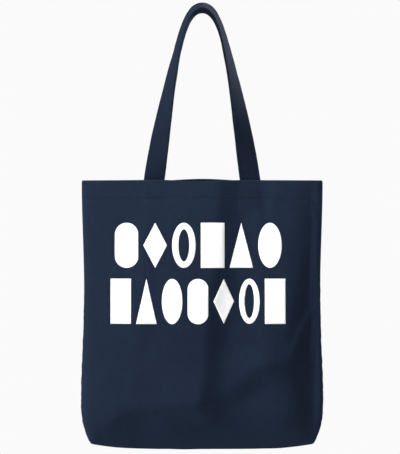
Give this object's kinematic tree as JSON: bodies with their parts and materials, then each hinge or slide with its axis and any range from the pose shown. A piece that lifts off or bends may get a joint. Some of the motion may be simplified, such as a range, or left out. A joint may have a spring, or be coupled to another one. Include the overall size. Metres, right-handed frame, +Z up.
{
  "type": "cotton tote bag",
  "caption": "Plain cotton tote bag with a boxed base, a hemmed mouth and long shoulder handles, hanging from its handles, with a print of plain shapes.",
  "frame": {"origin": "the hanging point: the underside of the handles where they come together at the top, in the bag's middle plane", "axes": "+Z up, +X across the bag to the right as seen from the front, -Y towards the front (the printed panel)"},
  "size_m": [0.3798, 0.0638, 0.7005],
  "materials": {
    "canvas": "navy cotton canvas, plain weave, matte",
    "strap_canvas": "navy cotton canvas strap, folded and stitched, matte",
    "thread": "navy polyester-cotton sewing thread",
    "print_ink": "white screen-printing ink, matte"
  },
  "bodies": {
    "rear_half": {"rear_panel": "canvas", "rear_hem": "canvas", "rear_hem_stitching": "thread", "rear_handle_ends": "strap_canvas", "rear_handle_box_stitching": "thread", "left_side_seam": "canvas", "right_side_seam": "canvas", "bottom_seam": "canvas", "left_corner_seam": "canvas", "right_corner_seam": "canvas"},
    "front_half": {"front_panel": "canvas", "front_hem": "canvas", "front_hem_stitching": "thread", "front_handle_ends": "strap_canvas", "front_handle_box_stitching": "thread", "front_print": "print_ink"},
    "front_handle": {"front_handle": "strap_canvas", "front_handle_edge_stitching": "thread"},
    "rear_handle": {"rear_handle": "strap_canvas", "rear_handle_edge_stitching": "thread"}
  },
  "joints": [
    {"name": "mouth_opening", "type": "hinge", "parent": "rear_half", "child": "front_half", "pos_m": [0, 0, -0.687], "axis": [1, 0, 0], "range_deg": [0, 12]},
    {"name": "front_handle_fold", "type": "hinge", "parent": "front_half", "child": "front_handle", "pos_m": [0, -0.0105, -0.2655], "axis": [1, 0, 0], "range_deg": [0, 165]},
    {"name": "rear_handle_fold", "type": "hinge", "parent": "rear_half", "child": "rear_handle", "pos_m": [0, 0.0105, -0.2655], "axis": [-1, 0, 0], "range_deg": [0, 165]}
  ]
}
